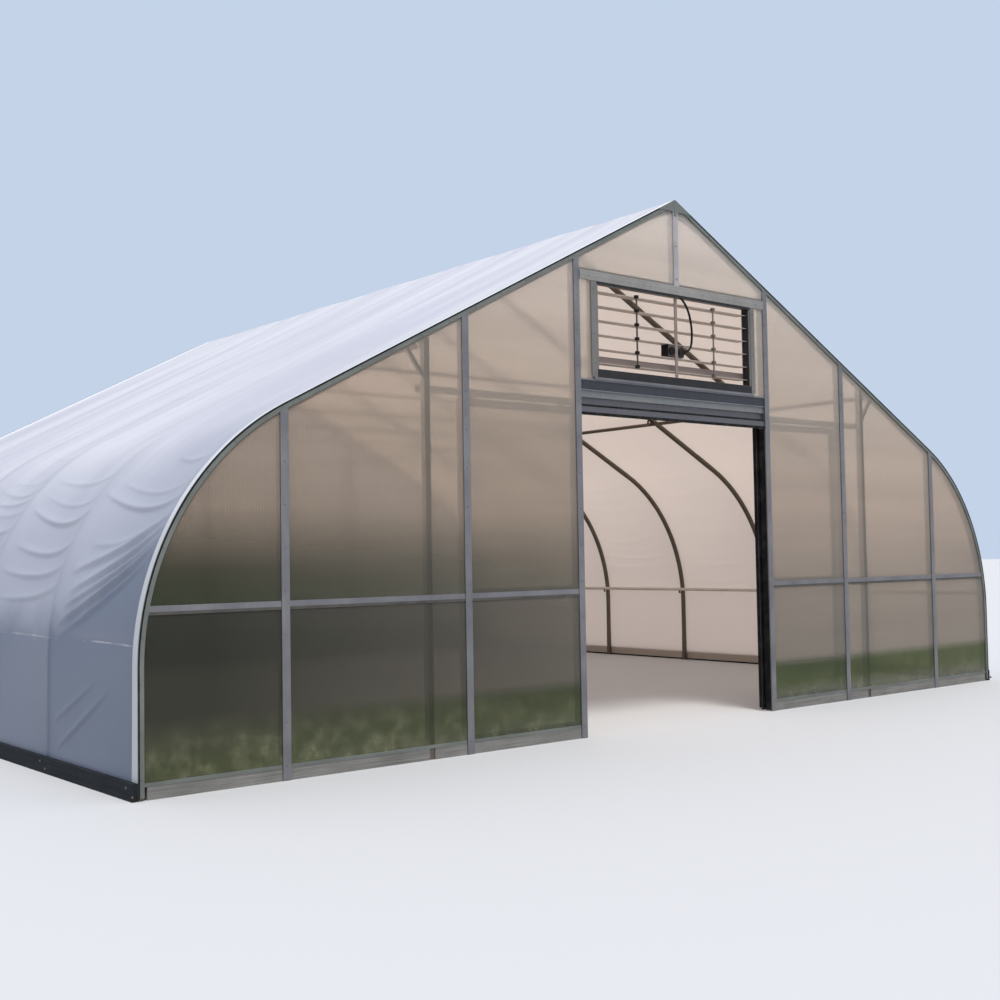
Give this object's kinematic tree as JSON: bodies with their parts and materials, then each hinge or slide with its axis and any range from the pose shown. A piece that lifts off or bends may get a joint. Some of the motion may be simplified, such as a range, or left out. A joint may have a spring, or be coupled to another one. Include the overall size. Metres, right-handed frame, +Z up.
{
  "type": "polytunnel greenhouse",
  "caption": "Arched film-covered greenhouse tunnel with glazed gables, a louvre shutter and a pair of sliding doors hung inside the front gable.",
  "frame": {"origin": "centre of the footprint, on the ground", "axes": "+X across the tunnel, to the right seen from the door gable; +Y along the tunnel, away from the door gable; +Z up"},
  "size_m": [10.316, 9.246, 4.7089],
  "materials": {
    "galvanised_steel": "hot-dip galvanised tube, dull",
    "aluminium": "mill-finish extrusion, weathered",
    "polycarbonate": "twin-wall sheet, translucent",
    "film": "white translucent film",
    "timber": "weathered boards",
    "zinc_sheet": "folded galvanised sheet",
    "black_steel": "black painted linkage"
  },
  "bodies": {
    "house": {"back_posts": "aluminium", "back_sheets": "polycarbonate", "bow_1": "galvanised_steel", "bow_2": "galvanised_steel", "bow_3": "galvanised_steel", "bow_4": "galvanised_steel", "bow_5": "galvanised_steel", "bow_6": "galvanised_steel", "bow_7": "galvanised_steel", "cover_bend_left": "film", "cover_bend_right": "film", "cover_side_left": "film", "cover_side_right": "film", "cover_slope_left": "film", "cover_slope_right": "film", "cross_ties": "galvanised_steel", "door_fascia": "zinc_sheet", "door_header": "galvanised_steel", "door_lintel": "zinc_sheet", "door_track": "zinc_sheet", "edge_strips": "aluminium", "front_sheets_left": "polycarbonate", "front_sheets_right": "polycarbonate", "gable_boards": "timber", "jamb_post_left": "aluminium", "jamb_post_right": "aluminium", "mid_rails": "aluminium", "mullions_left": "aluminium", "mullions_right": "aluminium", "peak_plates": "aluminium", "purlins": "galvanised_steel", "ridge_stud": "aluminium", "shutter_blades": "aluminium", "shutter_frame": "aluminium", "shutter_head_rail": "galvanised_steel", "shutter_linkage": "black_steel", "side_boards": "timber", "track_posts": "galvanised_steel", "upper_sheets": "polycarbonate"},
    "door_left": {"door_left_frame": "aluminium", "door_left_hangers": "zinc_sheet", "door_left_sheets": "polycarbonate"},
    "door_right": {"door_right_frame": "aluminium", "door_right_hangers": "zinc_sheet", "door_right_sheets": "polycarbonate"}
  },
  "joints": [
    {"name": "door_left_slide", "type": "slide", "parent": "house", "child": "door_left", "axis": [1, 0, 0], "range_m": [0, 1.173]},
    {"name": "door_right_slide", "type": "slide", "parent": "house", "child": "door_right", "axis": [-1, 0, 0], "range_m": [0, 1.173]}
  ]
}
